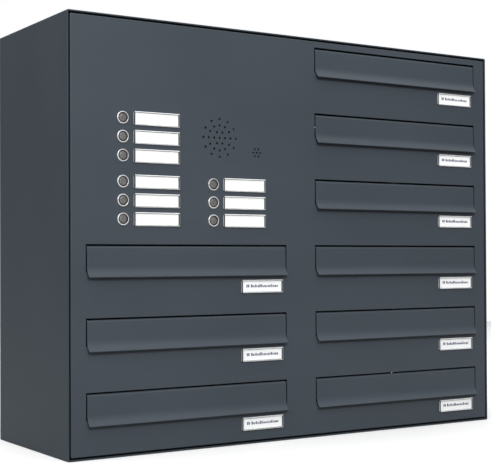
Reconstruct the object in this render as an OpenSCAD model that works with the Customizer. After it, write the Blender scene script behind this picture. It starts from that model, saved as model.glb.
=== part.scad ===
// Cluster mailbox unit: nine letter slots in front, nine doors behind, and a bell and intercom bay.
// Millimetres. +Z is up and the letter slots face -Y. The origin is the middle of the base.

/* [Cabinet] */
// Outer width of the casing
cabinet_w = 836; // [760:1:1000]
// Height of one mailbox, floor to floor
row_pitch = 110; // [104:1:140]
// Outer depth of the casing, front plate to doors
cabinet_d = 270; // [220:1:420]
// Sheet thickness of the casing
shell_t = 2; // [1.5:0.5:3]
// Sheet thickness of shelves and doors
sheet_t = 1.5; // [1:0.25:2]

/* [Front plate] */
// Sheet thickness of the front plate
plate_t = 2; // [1.5:0.5:3]
// Shadow gap between front plate and casing
plate_gap = 3; // [2:0.5:6]
// Depth of the plate's folded edge
plate_return = 11; // [8:1:16]

/* [Letter flap] */
// Margin between a flap and the side of its column
flap_margin = 31; // [20:0.5:50]
// Height of a flap
flap_h = 46.5; // [40:0.5:60]
// Sheet thickness of a flap
flap_t = 1.5; // [1:0.25:2]
// How far the finger lip stands out
lip_out = 8; // [5:0.5:12]
// Height over which the lip curves out
lip_h = 17; // [12:0.5:22]
// Radius of the rolled hinge barrel
barrel_r = 4; // [3.5:0.25:5]
// Radius of the flap's pin
flap_pin_r = 1.5; // [1:0.25:2]
// Gap at each side of a flap
flap_side_gap = 2; // [1:0.25:3]
// Gap over the top of a flap
flap_top_gap = 2.5; // [2:0.25:4]
// Distance from the top of a flap to the shelf above
flap_drop = 15.5; // [12:0.5:20]

/* [Name plates] */
// Width of a name plate
label_w = 80; // [60:1:90]
// Height of a name plate
label_h = 21; // [16:0.5:24]
// How far a name plate stands out
label_t = 2.4; // [2:0.1:3.5]
// Distance from a flap's lower edge to the name plate under it
label_drop = 7.5; // [4:0.5:14]

/* [Bells] */
// Outer radius of a bell button's ring
bezel_r = 9.6; // [9:0.1:12]
// Radius of a bell button
button_r = 6.1; // [5:0.1:6.5]
// Gap between a bell's ring and its name plate
bell_label_gap = 8.9; // [4:0.1:14]
// Height from one bell to the next
bell_pitch = 28.5; // [26:0.5:32]

/* [Rear doors] */
// Gap between two doors
door_gap = 3; // [3:0.5:5]
// Depth of a door's folded edge
door_fold = 10; // [8:1:14]
// Radius of the hinge rod
rod_r = 2; // [1.5:0.25:2.5]
// Radius of a lock's threaded body
lock_r = 9; // [8:0.5:10]
// Width of the post between the door columns
post_w = 16; // [14:1:24]

/* [Hidden] */

$fn = 48;
eps = 0.01;      // overlap that joins or cuts cleanly
fit = 0.05;      // clearance between pieces that sit on each other
run_fit = 0.06;  // radial clearance of a turning fit
pin_fit = 0.02;  // radial clearance of a fixed pin in its hole

// Layout: three mailboxes under the bay on the left, six on the right
rows = 6;
left_units = 3;
units = left_units + rows;
cabinet_h = rows * row_pitch + 2 * shell_t;
front_y = -cabinet_d / 2;
rear_y = cabinet_d / 2;
inner_x = cabinet_w / 2 - shell_t;
inner_top = cabinet_h - shell_t;
bay_floor = shell_t + left_units * row_pitch;
column_x = cabinet_w / 4;
flap_w = cabinet_w / 2 - 2 * flap_margin;

// Front plate and the frame that carries it
plate_x = inner_x - plate_gap;
plate_z0 = shell_t + plate_gap;
plate_back = front_y + plate_t;
gasket_t = 1;
gasket_w = 5.5;
frame_y0 = front_y + plate_return + gasket_t;
frame_t = 2;
frame_w = 13;
stud_r = 2;
stud_inset = 8;
nut_t = 3.2;
nut_r = 4;

// Flap and its slot
lip_r = (lip_h * lip_h + lip_out * lip_out) / (2 * lip_out);
lip_angle = asin(lip_h / lip_r);
sill_gap = 0.6;
sill_z = lip_h - sqrt((lip_r + flap_t) * (lip_r + flap_t) - (lip_r - sill_gap) * (lip_r - sill_gap));
sleeve_t = 1.5;
sleeve_y1 = frame_y0 - fit;
flap_axis_y = front_y + barrel_r;

// Name plates and cards
label_peg_r = 1.1;
label_edge = 2.8;
label_rim = 1.8;
label_bevel = 1.2;
card_t = 0.3;
card_fit = 0.15;
label_inset = 6;

// Bells, speaker and microphone, measured from the middle of the column and the floor of the bay
bell_rise = 25;
bell_group_gap = 39.2;
bell_columns = [-118.6, 40.3];
bell_label_dx = bezel_r + bell_label_gap + label_w / 2;
bell_body_r = bezel_r - 1.6;
bell_hole_r = bell_body_r + 0.1;
bell_len = 20;
bezel_h = 2;
bezel_bore_r = button_r + 1.5;
bezel_bore_h = 1.8;
button_fit = 0.1;
button_sink = 0.4;
button_travel = 1.5;
switch_len = 12;
pin_len = 5;
grille_dx = 52.5;
grille_dz = 156;
grille_step = 10;
grille_hole_r = 1.8;
mic_dx = 122.5;
mic_dz = 135.6;
mic_step = 6.5;
mic_hole_r = 1.6;
module_box = [26, 120, 90];
module_rise = 110;

// Doors, hinges and locks
axis_inset = 7.5;
axis_depth = 5;
knuckle_r = 4;
knuckle_len = 28;
knuckle_gap = 2;
door_overhang = 4.5;
free_gap = 2;
hinge_x = inner_x - axis_inset;
hinge_y = rear_y - axis_depth;
door_fold_x = hinge_x - 6.5;
door_free_x = post_w / 2 + free_gap;
ear_t = 2;
lock_dx = 28;
lock_x = door_free_x + lock_dx;
lock_rim = 2;
lock_len = 18;
plug_r = 5.5;
cam_t = 2;
cam_w = 12;
cam_y = rear_y - lock_len - cam_t - 0.3;
cam_reach = lock_x - 3;
post_d = rear_y - cam_y - cam_t - 0.5;
wall_t = 2;
shelf_rear = rear_y - door_fold - 4;
notch_gap = 0.5;

// Fixing holes in the base and the cable entry in the top
base_bolt_r = 4.5;
base_bolt_x = cabinet_w / 2 - 118;
base_bolt_y = cabinet_d / 2 - 55;
entry_x = -110;
entry_y = rear_y - 75;
entry_r = 12.5;
entry_bore_r = 5;

// Where each mailbox is: column -1 or 1, and row 0 at the base
function unit_side(i) = i < left_units ? -1 : 1;
function unit_row(i) = i < left_units ? left_units - 1 - i : rows - 1 - (i - left_units);
function level(k) = shell_t + k * row_pitch;
function flap_top(i) = level(unit_row(i) + 1) - flap_drop;
function flap_low(i) = flap_top(i) - flap_h;
function unit_x(i) = unit_side(i) * column_x;
function unit_label(i) = [unit_x(i) + flap_w / 2 - label_inset - label_w / 2, flap_low(i) - label_drop - label_h / 2];

// Bells 1 to 6 run down the first column, bells 7 to 9 down the second
function bell_step(k) = k * bell_pitch + (k > 2 ? bell_group_gap - bell_pitch : 0);
function bell_spot(i) = i < 6
    ? [bell_columns[0] - column_x, bay_floor + bell_rise + bell_step(5 - i)]
    : [bell_columns[1] - column_x, bay_floor + bell_rise + bell_step(8 - i)];
function all_labels() = concat(
    [for (i = [0:units - 1]) unit_label(i)],
    [for (i = [0:units - 1]) bell_spot(i) + [bell_label_dx, 0]]);
function grille_at() = [grille_dx - column_x, bay_floor + grille_dz];
function mic_at() = [mic_dx - column_x, bay_floor + mic_dz];

// Studs of the front plate: down both sides, and along the top and base
function side_studs() = [for (s = [-1, 1], k = [0:rows - 1]) [s * (inner_x - stud_inset), level(k) + row_pitch / 2]];
function end_studs() = [for (s = [-1, 1], z = [shell_t + stud_inset, inner_top - stud_inset]) [s * column_x, z]];
function all_studs() = concat(side_studs(), end_studs());

// A box from its lowest to its highest corner
module span(a, b) {
    translate(a) cube(b - a);
}

// A cylinder that runs along Y from y0 to y1
module rod_y(x, z, y0, y1, r) {
    translate([x, y0, z]) rotate([-90, 0, 0]) cylinder(h = y1 - y0, r = r);
}

// A frame of bars w wide, filling the rectangle x0, z0 to x1, z1
module ring(x0, z0, x1, z1, y0, y1, w) {
    difference() {
        span([x0, y0, z0], [x1, y1, z1]);
        span([x0 + w, y0 - 1, z0 + w], [x1 - w, y1 + 1, z1 - w]);
    }
}

module casing() {
    color("#3f474f")
    difference() {
        span([-cabinet_w / 2, front_y, 0], [cabinet_w / 2, rear_y, cabinet_h]);
        span([-inner_x, front_y - 1, shell_t], [inner_x, rear_y + 1, inner_top]);
        for (x = [-base_bolt_x, base_bolt_x], y = [-base_bolt_y, base_bolt_y])
            translate([x, y, -1]) cylinder(h = shell_t + 2, r = base_bolt_r);
        translate([entry_x, entry_y, inner_top - 1]) cylinder(h = shell_t + 2, r = entry_r);
    }
}

// Opening in the front plate for one flap
module slot_cut(i) {
    half = flap_w / 2 + flap_side_gap;
    span([unit_x(i) - half, front_y - 1, flap_low(i) + sill_z],
         [unit_x(i) + half, plate_back + 1, flap_top(i) + flap_top_gap]);
}

// Rings of round holes about a middle hole, counts giving the holes of each ring
module hole_rings(at, step, counts, r) {
    rod_y(at[0], at[1], front_y - 1, plate_back + 1, r, $fn = 24);
    for (ring = [1:len(counts)], k = [0:counts[ring - 1] - 1]) {
        a = 360 * k / counts[ring - 1];
        rod_y(at[0] + ring * step * cos(a), at[1] + ring * step * sin(a), front_y - 1, plate_back + 1, r, $fn = 24);
    }
}

module front_plate() {
    color("#434b53")
    union() {
        difference() {
            span([-plate_x, front_y, plate_z0], [plate_x, plate_back, cabinet_h - plate_z0]);
            for (i = [0:units - 1]) {
                slot_cut(i);
                rod_y(bell_spot(i)[0], bell_spot(i)[1], front_y - 1, plate_back + 1, bell_hole_r);
            }
            for (at = all_labels(), s = [-1, 1])
                rod_y(at[0] + s * (label_w - label_edge) / 2, at[1], front_y - 1, plate_back + 1,
                      label_peg_r + fit, $fn = 24);
            hole_rings(grille_at(), grille_step, [6, 12, 12], grille_hole_r);
            hole_rings(mic_at(), mic_step, [6], mic_hole_r);
        }
        ring(-plate_x, plate_z0, plate_x, cabinet_h - plate_z0, plate_back - eps, front_y + plate_return, plate_t);
        for (at = all_studs())
            rod_y(at[0], at[1], plate_back - eps, frame_y0 + frame_t + nut_t + 1, stud_r, $fn = 24);
    }
}

// The bar frame inside the casing that the front plate is bolted to
module front_frame() {
    color("#2f353b")
    difference() {
        ring(-inner_x, shell_t, inner_x, inner_top, frame_y0, frame_y0 + frame_t, frame_w);
        for (at = all_studs())
            rod_y(at[0], at[1], frame_y0 - 1, frame_y0 + frame_t + 1, stud_r + 0.25, $fn = 24);
    }
}

module front_gasket() {
    color("#101112")
    ring(-inner_x, shell_t, inner_x, inner_top, frame_y0 - gasket_t, frame_y0, gasket_w);
}

module plate_nuts() {
    color("silver")
    for (at = all_studs())
        translate([at[0], frame_y0 + frame_t, at[1]]) rotate([-90, 0, 0])
        difference() {
            cylinder(h = nut_t, r = nut_r, $fn = 6);
            translate([0, 0, -1]) cylinder(h = nut_t + 2, r = stud_r + fit, $fn = 24);
        }
}

// The wall between the columns, notched round the front frame
module centre_wall() {
    color("#aab0b4")
    difference() {
        span([-wall_t / 2, plate_back + notch_gap, shell_t], [wall_t / 2, rear_y - post_d - fit, inner_top]);
        for (z = [shell_t - 1, inner_top - frame_w - notch_gap])
            span([-wall_t, plate_back, z], [wall_t, frame_y0 + frame_t + notch_gap, z + frame_w + notch_gap + 1]);
    }
}

// The tube that the locks catch behind
module rear_post() {
    color("#3f474f")
    difference() {
        span([-post_w / 2, rear_y - post_d, shell_t], [post_w / 2, rear_y, inner_top]);
        span([-post_w / 2 + sheet_t, rear_y - post_d + sheet_t, shell_t - 1],
             [post_w / 2 - sheet_t, rear_y - sheet_t, inner_top + 1]);
    }
}

// A shelf with folded side edges, notched for the front frame and the rear post
module shelf(side, k) {
    edge_h = 12;
    x0 = wall_t / 2 + fit;
    x1 = inner_x - fit;
    z1 = level(k) + sheet_t / 2;
    z0 = z1 - sheet_t;
    frame_edge = frame_y0 + frame_t + notch_gap;
    mirror([side < 0 ? 1 : 0, 0, 0])
    difference() {
        union() {
            span([x0, frame_edge, z0], [x1, shelf_rear, z1]);
            span([x0, plate_back + notch_gap, z0], [inner_x - frame_w - notch_gap, frame_edge + eps, z1]);
            for (x = [x0, x1 - sheet_t])
                span([x, frame_edge, z1 - edge_h], [x + sheet_t, shelf_rear, z0 + eps]);
        }
        span([0, rear_y - post_d - fit, z1 - edge_h - 1], [post_w / 2 + notch_gap, rear_y, z1 + 1]);
    }
}

module left_shelves() {
    color("#aab0b4") for (k = [1:left_units]) shelf(-1, k);
}

module right_shelves() {
    color("#aab0b4") for (k = [1:rows - 1]) shelf(1, k);
}

// The sleeve behind each slot that guides the mail: two cheeks that hold the ends of the flap's pin,
// and a rail over and under the slot. All four stand on the back of the front plate.
module slot_frames() {
    color("#2f353b")
    for (i = [0:units - 1]) {
        half = flap_w / 2 + flap_side_gap;
        z0 = flap_low(i) + sill_z;
        z1 = flap_top(i) + flap_top_gap;
        for (x = [unit_x(i) - half - sleeve_t, unit_x(i) + half])
            difference() {
                span([x, plate_back, z0 - sleeve_t], [x + sleeve_t, sleeve_y1, z1 + sleeve_t]);
                translate([x - 1, flap_axis_y, flap_top(i) - barrel_r]) rotate([0, 90, 0])
                    cylinder(h = sleeve_t + 2, r = flap_pin_r + pin_fit, $fn = 24);
            }
        for (z = [z0 - sleeve_t, z1])
            span([unit_x(i) - half + fit, plate_back, z], [unit_x(i) + half - fit, sleeve_y1, z + sleeve_t]);
    }
}

module flap_pins() {
    color("silver")
    for (i = [0:units - 1])
        translate([unit_x(i) - flap_w / 2 - flap_side_gap - sleeve_t, flap_axis_y, flap_top(i) - barrel_r])
        rotate([0, 90, 0])
        cylinder(h = flap_w + 2 * (flap_side_gap + sleeve_t), r = flap_pin_r, $fn = 24);
}

// Side view of a flap: y behind the front face, z over the lower edge. The lip is an arc whose
// middle lies in front of the plate.
module flap_profile() {
    steps = 10;
    arc = [for (k = [0:steps]) lip_angle * k / steps];
    front = [for (a = arc) [lip_r * cos(a) - lip_r, lip_h - lip_r * sin(a)]];
    back_r = lip_r + flap_t;
    back = [for (k = [steps:-1:0]) [back_r * cos(arc[k]) - lip_r, lip_h - back_r * sin(arc[k])]];
    polygon(concat([[0, flap_h - barrel_r]], front, back, [[flap_t, flap_h - barrel_r]]));
}

module flap(i) {
    color("#4a525a")
    translate([unit_x(i), front_y, flap_low(i)])
    difference() {
        union() {
            translate([-flap_w / 2, 0, 0]) rotate([90, 0, 90]) linear_extrude(height = flap_w) flap_profile();
            translate([-flap_w / 2, barrel_r, flap_h - barrel_r]) rotate([0, 90, 0]) cylinder(h = flap_w, r = barrel_r);
        }
        translate([-flap_w, barrel_r, flap_h - barrel_r]) rotate([0, 90, 0])
            cylinder(h = 2 * flap_w, r = flap_pin_r + run_fit, $fn = 24);
    }
}

// Clear cover with bevelled edges, a pocket for the card and two pegs
module label_cover(at) {
    half = [label_w / 2, label_h / 2];
    translate([at[0], front_y, at[1]]) rotate([90, 0, 0])
    difference() {
        union() {
            intersection() {
                linear_extrude(height = label_t)
                    polygon([[-half[0], -half[1]], [half[0], -half[1]], half, [-half[0], half[1]]]);
                bevelled(half[0], label_h);
                rotate([0, 0, 90]) bevelled(half[1], label_w);
            }
            for (s = [-1, 1])
                translate([s * (label_w - label_edge) / 2, 0, -plate_t - 1])
                    cylinder(h = plate_t + 1 + eps, r = label_peg_r, $fn = 24);
        }
        translate([-label_w / 2 + label_edge, -label_h / 2 + label_rim, -eps])
            cube([label_w - 2 * label_edge, label_h - 2 * label_rim, card_t + 2 * card_fit]);
    }
}

// A long bar with its two front edges bevelled, used to shape a cover
module bevelled(half, long) {
    translate([0, long, 0]) rotate([90, 0, 0]) linear_extrude(height = 2 * long)
        polygon([[-half, 0], [half, 0], [half, label_t - label_bevel], [half - label_bevel, label_t],
                 [label_bevel - half, label_t], [-half, label_t - label_bevel]]);
}

module label_covers() {
    color("#d8dcdc") for (at = all_labels()) label_cover(at);
}

module label_cards() {
    color("white")
    for (at = all_labels())
        span([at[0] - label_w / 2 + label_edge + card_fit, front_y - card_fit - card_t,
              at[1] - label_h / 2 + label_rim + card_fit],
             [at[0] + label_w / 2 - label_edge - card_fit, front_y - card_fit,
              at[1] + label_h / 2 - label_rim - card_fit]);
}

// Ring and threaded body of a bell, turned about its own axis
module bell_bezels() {
    guide_r = button_r + button_fit;
    color("silver")
    for (i = [0:units - 1])
        translate([bell_spot(i)[0], front_y, bell_spot(i)[1]]) rotate([-90, 0, 0])
        rotate_extrude()
        polygon([[bezel_bore_r, -bezel_h], [bezel_r - 0.7, -bezel_h], [bezel_r, -bezel_h + 0.7], [bezel_r, 0],
                 [bell_body_r, 0], [bell_body_r, bell_len], [guide_r, bell_len],
                 [guide_r, bezel_bore_h - bezel_h], [bezel_bore_r, bezel_bore_h - bezel_h]]);
}

module bell_nuts() {
    color("silver")
    for (i = [0:units - 1])
        translate([bell_spot(i)[0], plate_back, bell_spot(i)[1]]) rotate([-90, 0, 0])
        difference() {
            cylinder(h = 3, r = bell_body_r + 3, $fn = 6);
            translate([0, 0, -1]) cylinder(h = 5, r = bell_body_r + fit);
        }
}

module bell_switches() {
    color("#1c1d1f")
    for (i = [0:units - 1]) {
        at = bell_spot(i);
        y0 = front_y + bell_len;
        rod_y(at[0], at[1], y0, y0 + switch_len, bell_body_r - 0.5);
        for (s = [-1, 1])
            span([at[0] + 3 * s - 0.4, y0 + switch_len - eps, at[1] - 1.4],
                 [at[0] + 3 * s + 0.4, y0 + switch_len + pin_len, at[1] + 1.4]);
    }
}

module bell_button(i) {
    at = bell_spot(i);
    color("#8a8d8f")
    rod_y(at[0], at[1], front_y - bezel_h + button_sink, front_y + bell_len - button_travel - 0.5, button_r);
}

// Loudspeaker: rim, basket and magnet, turned about the middle of the grille
module speaker() {
    color("#2b2d30")
    translate([grille_at()[0], plate_back, grille_at()[1]]) rotate([-90, 0, 0])
    rotate_extrude()
    polygon([[0, 6], [12, 8], [31, 1], [31, 0], [36, 0], [36, 2.5], [33, 3], [22, 18], [22, 26], [0, 26]]);
}

module microphone() {
    color("#1c1d1f")
    translate([mic_at()[0], plate_back, mic_at()[1]]) rotate([-90, 0, 0])
    rotate_extrude() polygon([[9, 0], [11, 0], [11, 3], [8.5, 5], [8.5, 14], [0, 14], [0, 4], [9, 4]]);
}

// Amplifier box on the centre wall, with a row of screw terminals below
module intercom_module() {
    x1 = -wall_t / 2 - fit;
    y0 = -module_box[1] / 2;
    z0 = bay_floor + module_rise;
    color("#c9ccca")
    union() {
        span([x1 - module_box[0], y0, z0], [x1, y0 + module_box[1], z0 + module_box[2]]);
        for (k = [0:7])
            span([x1 - 15, y0 + 10 + 12.5 * k, z0 - 9], [x1 - 3, y0 + 20 + 12.5 * k, z0 + eps]);
    }
}

module cable_grommet() {
    color("#161718")
    translate([entry_x, entry_y, inner_top]) rotate_extrude()
    polygon([[entry_bore_r, -1.5], [entry_r + 3, -1.5], [entry_r + 3, -fit], [entry_r - fit, -fit],
             [entry_r - fit, shell_t + fit], [entry_r + 3, shell_t + fit], [entry_r + 3, shell_t + 1.5],
             [entry_bore_r, shell_t + 1.5]]);
}

module hinge_rods() {
    color("silver")
    for (s = [-1, 1])
        translate([s * hinge_x, hinge_y, shell_t + 0.2]) cylinder(h = inner_top - shell_t - 0.4, r = rod_r);
}

// Ears on the casing wall that carry the hinge rods, one at each level that has a door above or below
module hinge_ears() {
    color("#3f474f")
    for (s = [-1, 1], k = [0:rows])
        if (s > 0 || k <= left_units || k == rows)
            mirror([s < 0 ? 1 : 0, 0, 0])
            difference() {
                span([hinge_x - 4, hinge_y - 7, max(level(k) - ear_t / 2, shell_t)],
                     [inner_x, hinge_y + 3, min(level(k) + ear_t / 2, inner_top)]);
                translate([hinge_x, hinge_y, level(k) - 5]) cylinder(h = 10, r = rod_r + 0.02);
            }
}

// A folded door pan on the +X side, with two hinge knuckles, and the lock's fixed body and nut
module door_pan(low, high, lock_z) {
    z0 = low + door_gap / 2;
    z1 = high - door_gap / 2;
    y0 = rear_y - door_fold;
    difference() {
        union() {
            span([door_free_x, rear_y - sheet_t, z0], [hinge_x + door_overhang, rear_y, z1]);
            ring(door_free_x, z0, door_fold_x, z1, y0, rear_y - sheet_t + eps, sheet_t);
            for (z = [low + ear_t / 2 + knuckle_gap, high - ear_t / 2 - knuckle_gap - knuckle_len])
                translate([hinge_x, hinge_y, z]) cylinder(h = knuckle_len, r = knuckle_r);
        }
        rod_y(lock_x, lock_z, rear_y - 5, rear_y + 5, lock_r + fit);
        translate([hinge_x, hinge_y, z0 - 1]) cylinder(h = z1 - z0 + 2, r = rod_r + run_fit);
    }
    difference() {
        union() {
            rod_y(lock_x, lock_z, rear_y - lock_len, rear_y + fit, lock_r);
            rod_y(lock_x, lock_z, rear_y + fit, rear_y + lock_rim, lock_r + 2.5);
        }
        rod_y(lock_x, lock_z, rear_y - lock_len - 1, rear_y + lock_rim + 1, plug_r + run_fit);
    }
    difference() {
        translate([lock_x, rear_y - sheet_t - fit, lock_z]) rotate([90, 0, 0]) cylinder(h = 4, r = lock_r + 4, $fn = 6);
        rod_y(lock_x, lock_z, rear_y - 10, rear_y, lock_r + fit);
    }
}

module lock_cam(lock_z) {
    difference() {
        rod_y(lock_x, lock_z, cam_y - 2, rear_y + lock_rim + 0.3, plug_r);
        span([lock_x - 0.6, rear_y + lock_rim - 6, lock_z - 3.5], [lock_x + 0.6, rear_y + lock_rim + 1, lock_z + 3.5]);
    }
    difference() {
        union() {
            rod_y(lock_x, lock_z, cam_y, cam_y + cam_t, cam_w / 2 + 2);
            span([lock_x - cam_w / 2, cam_y, lock_z - cam_reach], [lock_x + cam_w / 2, cam_y + cam_t, lock_z]);
        }
        rod_y(lock_x, lock_z, cam_y - 3, cam_y + cam_t + 3, plug_r + fit);
    }
}

function lock_height(i) = level(unit_row(i)) + row_pitch / 2;
function bay_lock_z() = (bay_floor + inner_top) / 2;

module door(i) {
    color("#434b53")
    mirror([unit_side(i) < 0 ? 1 : 0, 0, 0])
        door_pan(level(unit_row(i)), level(unit_row(i) + 1), lock_height(i));
}

module unit_cam(i) {
    color("silver") mirror([unit_side(i) < 0 ? 1 : 0, 0, 0]) lock_cam(lock_height(i));
}

module service_door() {
    color("#434b53") mirror([1, 0, 0]) door_pan(bay_floor, inner_top, bay_lock_z());
}

module service_cam() {
    color("silver") mirror([1, 0, 0]) lock_cam(bay_lock_z());
}

casing();
front_plate();
front_frame();
front_gasket();
plate_nuts();
centre_wall();
rear_post();
left_shelves();
right_shelves();
slot_frames();
flap_pins();
label_covers();
label_cards();
bell_bezels();
bell_nuts();
bell_switches();
speaker();
microphone();
intercom_module();
cable_grommet();
hinge_rods();
hinge_ears();
service_door();
service_cam();
for (i = [0:units - 1]) {
    flap(i);
    bell_button(i);
    door(i);
    unit_cam(i);
}
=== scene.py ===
"""Cluster mailbox unit: sheet metal, flaps, name plates, bells, doors and locks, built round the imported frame."""
import math

import bpy
from bpy.props import FloatProperty, FloatVectorProperty, IntProperty, PointerProperty
from mathutils import Matrix, Vector


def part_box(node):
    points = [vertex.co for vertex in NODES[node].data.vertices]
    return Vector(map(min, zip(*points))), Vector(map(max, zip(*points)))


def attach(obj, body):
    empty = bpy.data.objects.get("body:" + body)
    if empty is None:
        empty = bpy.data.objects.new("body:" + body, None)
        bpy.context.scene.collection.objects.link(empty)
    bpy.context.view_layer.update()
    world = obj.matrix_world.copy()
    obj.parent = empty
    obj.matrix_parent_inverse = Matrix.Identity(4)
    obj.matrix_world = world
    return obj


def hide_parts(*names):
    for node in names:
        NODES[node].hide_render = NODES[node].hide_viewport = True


bl_info = {
    "name": "Cluster mailbox unit",
    "version": (1, 0, 0),
    "blender": (4, 5, 0),
    "location": "View3D > Sidebar > Mailboxes",
    "description": "Builds a nine-box mailbox cabinet with bells, name plates and rear doors",
    "category": "Add Mesh",
}

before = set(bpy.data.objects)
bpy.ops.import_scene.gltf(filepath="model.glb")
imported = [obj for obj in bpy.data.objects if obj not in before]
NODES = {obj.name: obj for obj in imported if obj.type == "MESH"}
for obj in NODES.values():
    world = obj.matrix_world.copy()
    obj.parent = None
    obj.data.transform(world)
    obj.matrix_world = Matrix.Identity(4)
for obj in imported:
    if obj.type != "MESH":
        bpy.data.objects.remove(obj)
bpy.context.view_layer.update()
MM = 0.001
UNITS = 9

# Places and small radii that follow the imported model
BASE_BOLTS = [(x, y) for x in (-300 * MM, 300 * MM) for y in (-80 * MM, 80 * MM)]
BASE_BOLT_R = 4.5 * MM
DRILL_LENGTH = 20 * MM
GROMMET_FLANGE = 3 * MM
PLATE_CORNER = 2.2 * MM
CUT_REACH = 5 * MM
SPEAKER_RINGS, SPEAKER_STEP = (6, 12, 12), 10 * MM
MIC_RINGS, MIC_STEP = (6,), 6.5 * MM
SIDE_STUDS, SIDE_STUD_LOW, SIDE_STUD_STEP, SIDE_STUD_INSET = 6, 57 * MM, 110 * MM, 5 * MM
END_STUD_X, END_STUD_INSET = 209 * MM, 4 * MM
STUD_R, STUD_TIP_R, STUD_FILLET = 2 * MM, 1.6 * MM, 0.6 * MM
BARREL_STEPS, BARREL_TURN = 14, math.radians(20)
COVER_WALL, COVER_END_WALL, COVER_POCKET = 1.8 * MM, 2.8 * MM, 0.6 * MM
COVER_CORNER, COVER_BEVEL = 1.3 * MM, 1.2 * MM
CARD_END_GAP, CARD_EDGE_GAP, CARD_CORNER = 2.95 * MM, 1.95 * MM, 0.5 * MM
CARD_FACE, CARD_BACK = 0.45 * MM, 0.15 * MM
CAP_R, CAP_BORE_R, CAP_OPEN_R = 6.1 * MM, 6.2 * MM, 0.5 * MM
BELL_FLANGE, BELL_CLEARANCE = 1.6 * MM, 0.1 * MM
# Radius and depth of the painted shade in the bell recess
BELL_RECESS_SHADE_R, BELL_RECESS_SHADE_DEPTH = 8.1 * MM, 1.95 * MM
LOCK_PLUG_R, LOCK_FACE_R = 8 * MM, 12 * MM
LOCK_OUTSIDE, LOCK_INSIDE, LOCK_REACH = 2.05 * MM, 3.55 * MM, 60 * MM
SHEET_EDGE, CAM_EDGE = 0.35 * MM, 0.2 * MM
# Slack where faces are picked by their place
HAIR = 0.1 * MM


def flap_box(i):
    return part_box(f"flap_{i}")


# ---------------------------------------------------------------- sizes and colours


class MailboxSizes(bpy.types.PropertyGroup):
    shell_t: FloatProperty(name="Casing sheet", description="Sheet thickness of the casing", default=2 * MM,
                           unit="LENGTH")
    shell_bend: FloatProperty(name="Casing bend", description="Outer radius of the casing's folded corners",
                              default=2.2 * MM, unit="LENGTH")
    plate_t: FloatProperty(name="Plate sheet", description="Sheet thickness of the front plate", default=2 * MM,
                           unit="LENGTH")
    plate_bend: FloatProperty(name="Plate bend", description="Outer radius of the front plate's folded edge",
                              default=1.4 * MM, unit="LENGTH")
    plate_return: FloatProperty(name="Plate fold", description="Depth of the front plate's folded edge",
                                default=11 * MM, unit="LENGTH")
    burr: FloatProperty(name="Cut edge", description="Softening of cut edges in casing and plate",
                        default=0.3 * MM, unit="LENGTH")
    flap_t: FloatProperty(name="Flap sheet", description="Sheet thickness of a flap", default=1.5 * MM,
                          unit="LENGTH")
    flap_h: FloatProperty(name="Flap height", description="Height of a flap from lip to barrel", default=46.5 * MM,
                          unit="LENGTH")
    barrel_r: FloatProperty(name="Flap barrel", description="Radius of the barrel rolled round the flap's pin",
                            default=4 * MM, unit="LENGTH")
    lip_out: FloatProperty(name="Lip reach", description="How far the finger lip stands out", default=8 * MM,
                           unit="LENGTH")
    lip_h: FloatProperty(name="Lip height", description="Height over which the lip curves out", default=17 * MM,
                         unit="LENGTH")
    lip_corner: FloatProperty(name="Lip corner", description="Corner radius at the lip's ends", default=5 * MM,
                              unit="LENGTH")
    lip_steps: IntProperty(name="Lip steps", description="Steps along the lip's curve", default=12, min=4, max=32)
    slot_side: FloatProperty(name="Side gap", description="Gap at each side of a flap", default=2 * MM,
                             unit="LENGTH")
    slot_top: FloatProperty(name="Top gap", description="Gap over a flap", default=2.5 * MM, unit="LENGTH")
    slot_sill: FloatProperty(name="Sill height", description="Slot's lower edge over the flap's lower edge",
                             default=7.28 * MM, unit="LENGTH")
    label_w: FloatProperty(name="Name plate width", description="Width of a name plate", default=80 * MM,
                           unit="LENGTH")
    label_h: FloatProperty(name="Name plate height", description="Height of a name plate", default=21 * MM,
                           unit="LENGTH")
    label_t: FloatProperty(name="Name plate depth", description="How far a name plate stands out",
                           default=2.4 * MM, unit="LENGTH")
    label_drop: FloatProperty(name="Name plate drop", default=18 * MM, unit="LENGTH",
                              description="From the flap's lower edge down to the name plate's middle")
    label_inset: FloatProperty(name="Name plate inset", description="From the flap's end to the name plate",
                               default=6 * MM, unit="LENGTH")
    bell_label: FloatProperty(name="Bell name plate", default=58.5 * MM, unit="LENGTH",
                              description="From the bell's middle to the name plate's middle")
    bezel_r: FloatProperty(name="Bell ring", description="Outer radius of a bell's ring", default=9.6 * MM,
                           unit="LENGTH")
    hole_r: FloatProperty(name="Grille hole", description="Radius of a loudspeaker hole", default=1.8 * MM,
                          unit="LENGTH")
    mic_hole_r: FloatProperty(name="Microphone hole", description="Radius of a microphone hole", default=1.6 * MM,
                              unit="LENGTH")


class MailboxColours(bpy.types.PropertyGroup):
    anthracite: FloatVectorProperty(name="Anthracite", description="Powder coat of plate, flaps and casing",
                                    subtype="COLOR", default=(0.0325, 0.0420, 0.0520))
    anthracite_light: FloatVectorProperty(name="Anthracite, worn", description="Lighter tone in the powder coat",
                                          subtype="COLOR", default=(0.0465, 0.0575, 0.0700))
    ink: FloatVectorProperty(name="Ink", description="Print on the name cards", subtype="COLOR",
                             default=(0.012, 0.016, 0.075))
    card: FloatVectorProperty(name="Card", description="White card", subtype="COLOR", default=(0.86, 0.87, 0.87))
    floor: FloatVectorProperty(name="Floor", description="Studio floor", subtype="COLOR",
                               default=(0.74, 0.74, 0.74))


def sizes():
    return bpy.context.scene.mailbox_sizes


def colours():
    return bpy.context.scene.mailbox_colours


# ---------------------------------------------------------------- shader groups


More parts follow.
